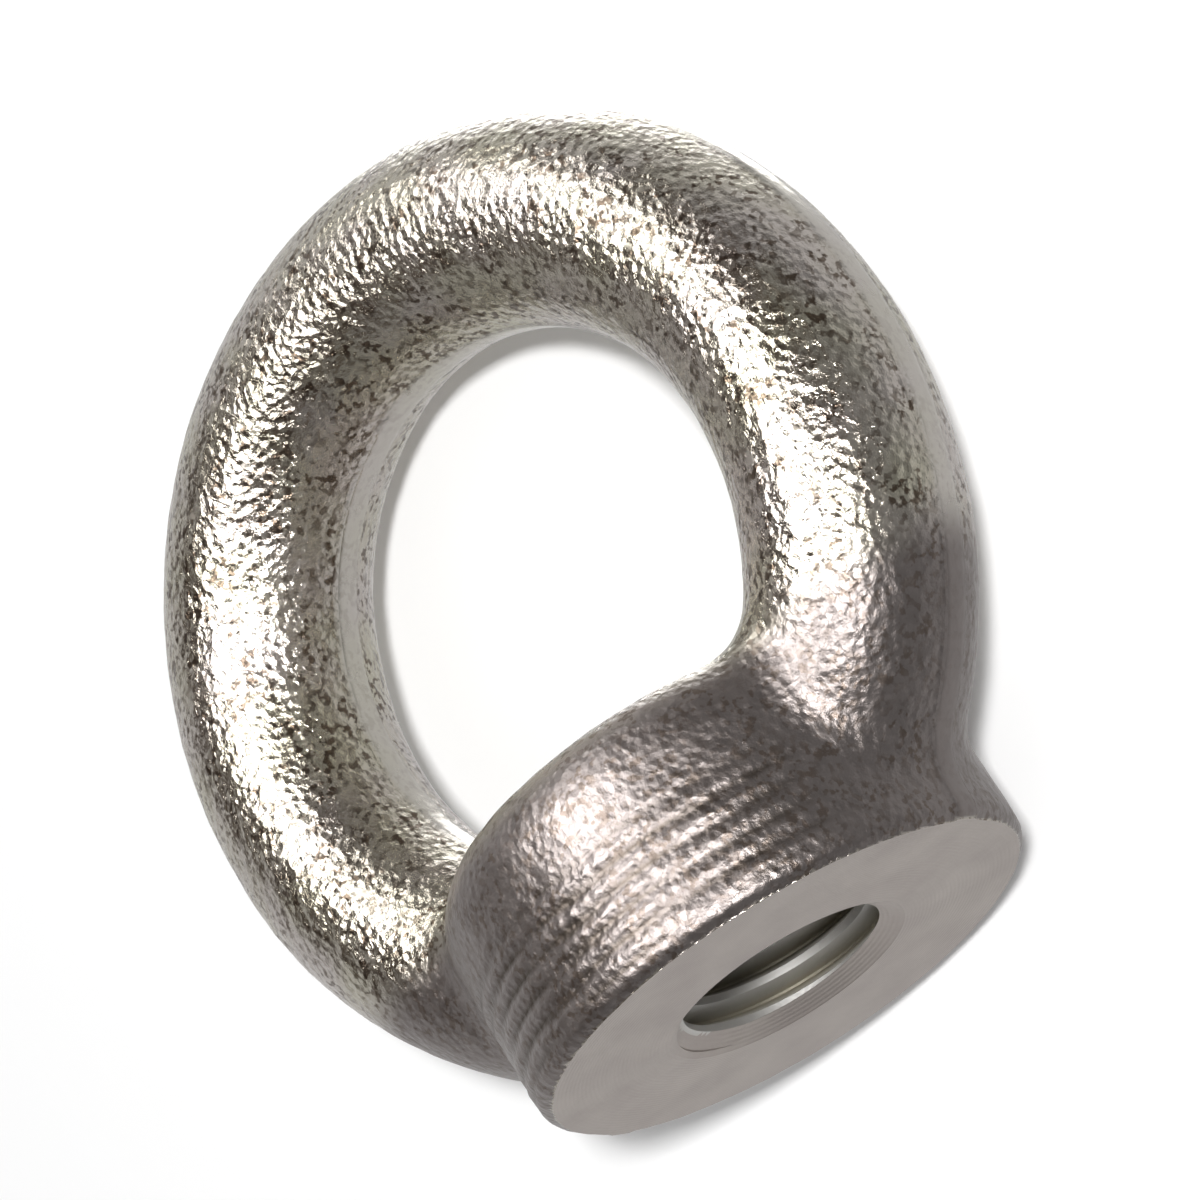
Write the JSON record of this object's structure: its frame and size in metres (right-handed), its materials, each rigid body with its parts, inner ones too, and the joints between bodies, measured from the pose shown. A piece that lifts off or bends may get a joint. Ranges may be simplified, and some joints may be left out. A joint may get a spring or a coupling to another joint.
{
  "type": "lifting eye nut",
  "caption": "Forged steel ring on a round boss with a threaded bore, screwed onto a stud so that a load can be lifted by a hook or shackle.",
  "frame": {"origin": "centre of the machined seat face, on the thread axis", "axes": "+Z along the thread axis from the seat face to the crown of the ring; the ring stands in the XZ plane and the eye opens along Y"},
  "size_m": [0.063, 0.035, 0.062],
  "materials": {
    "zinc_steel": "rough forged surface under bright zinc plating, seat face machined flat"
  },
  "bodies": {
    "root": {"eye_nut": "zinc_steel"}
  },
  "joints": []
}
